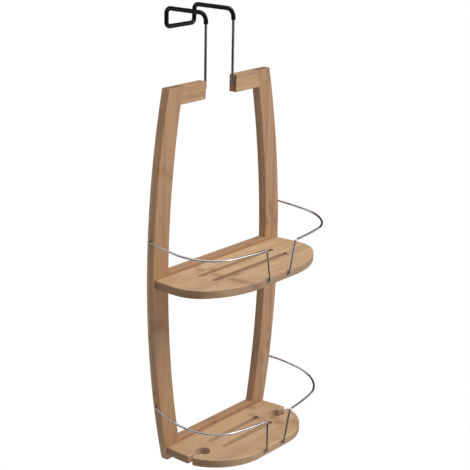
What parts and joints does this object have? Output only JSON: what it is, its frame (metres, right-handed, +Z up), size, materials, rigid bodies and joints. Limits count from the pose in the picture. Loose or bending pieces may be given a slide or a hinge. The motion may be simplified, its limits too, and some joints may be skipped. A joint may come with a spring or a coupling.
{
  "type": "shower caddy",
  "caption": "Bamboo caddy with D-shaped shelves and wire guards that hangs over a shower door by a pivoting sleeved wire hook.",
  "frame": {"origin": "front top edge of the door it hangs on: halfway between the hook's two arms, on the plane of the rails' backs, at the height of the underside of the hook's sleeved top bars", "axes": "+Z up, +X to the right seen from the front, -Y out of the door towards the user, +Y over the door"},
  "size_m": [0.3166, 0.2094, 0.6818],
  "materials": {
    "bamboo": "satin lacquered laminated bamboo, grain along each board",
    "chrome_wire": "polished",
    "steel_wire": "dark polished wire",
    "black_sleeve": "smooth soft tube, slight sheen",
    "zinc_screw": "zinc plated",
    "dowel_wood": "plain beech dowel"
  },
  "bodies": {
    "hook": {"hook_wire": "steel_wire", "hook_sleeve": "black_sleeve"},
    "caddy_frame": {"left_rail": "bamboo", "right_rail": "bamboo", "left_arm": "bamboo", "right_arm": "bamboo", "upper_crossbar": "bamboo", "lower_crossbar": "bamboo", "upper_shelf": "bamboo", "lower_shelf": "bamboo", "upper_left_guard": "chrome_wire", "upper_right_guard": "chrome_wire", "lower_left_guard": "chrome_wire", "lower_right_guard": "chrome_wire", "arm_dowels": "dowel_wood", "crossbar_dowels": "dowel_wood", "shelf_screws": "zinc_screw"}
  },
  "joints": [
    {"name": "hook_pivot", "type": "hinge", "parent": "hook", "child": "caddy_frame", "pos_m": [0, -0.009, -0.1085], "axis": [1, 0, 0], "range_deg": [-180, 0]}
  ]
}
